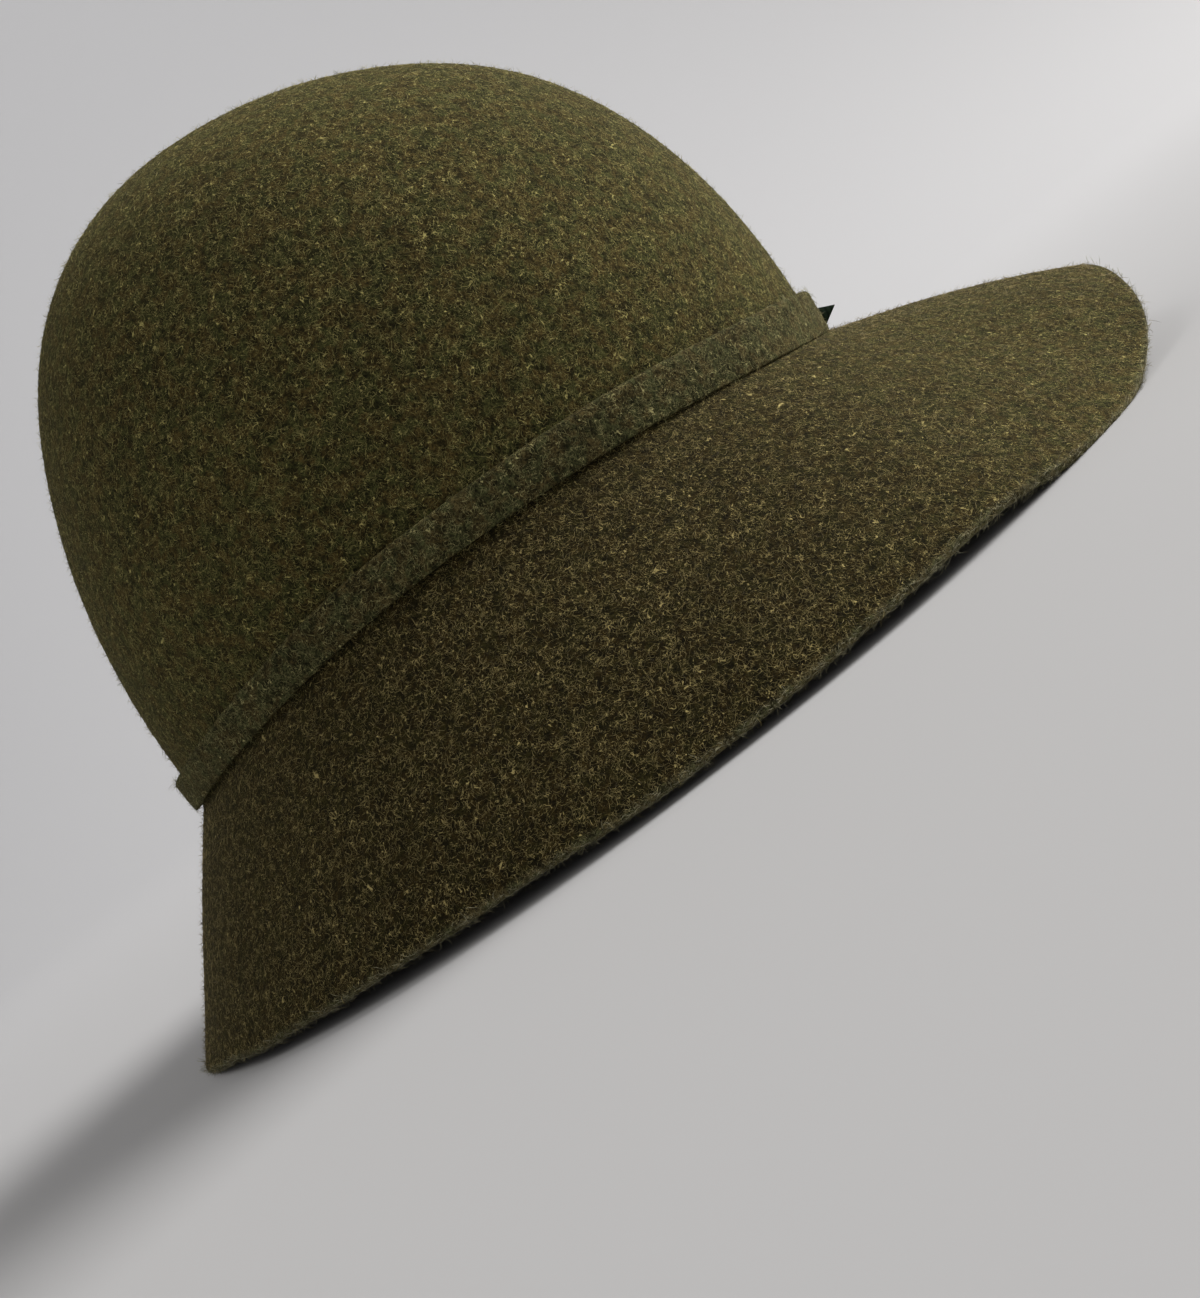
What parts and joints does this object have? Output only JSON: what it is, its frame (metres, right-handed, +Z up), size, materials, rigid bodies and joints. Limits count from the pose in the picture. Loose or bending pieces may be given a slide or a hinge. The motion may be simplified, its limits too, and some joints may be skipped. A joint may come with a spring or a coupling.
{
  "type": "cloche hat",
  "caption": "Felt cloche hat with a deep rounded crown, a down-sloping brim that widens at the front, a narrow felt band and a small ribbon tab.",
  "frame": {"origin": "on the surface that the brim rests on, below the middle of the hat's outline", "axes": "+Z up through the crown; the front of the hat, where the brim is widest, faces -Y, and the wearer's right is -X"},
  "size_m": [0.2684, 0.3132, 0.1878],
  "materials": {
    "hood_felt": "marled olive wool felt with a soft nap",
    "band_felt": "marled grey-green wool felt with a soft nap",
    "ribbon": "dark green ribbed ribbon"
  },
  "bodies": {
    "root": {"hat_body": "hood_felt", "band": "band_felt", "ribbon_tab": "ribbon"}
  },
  "joints": []
}
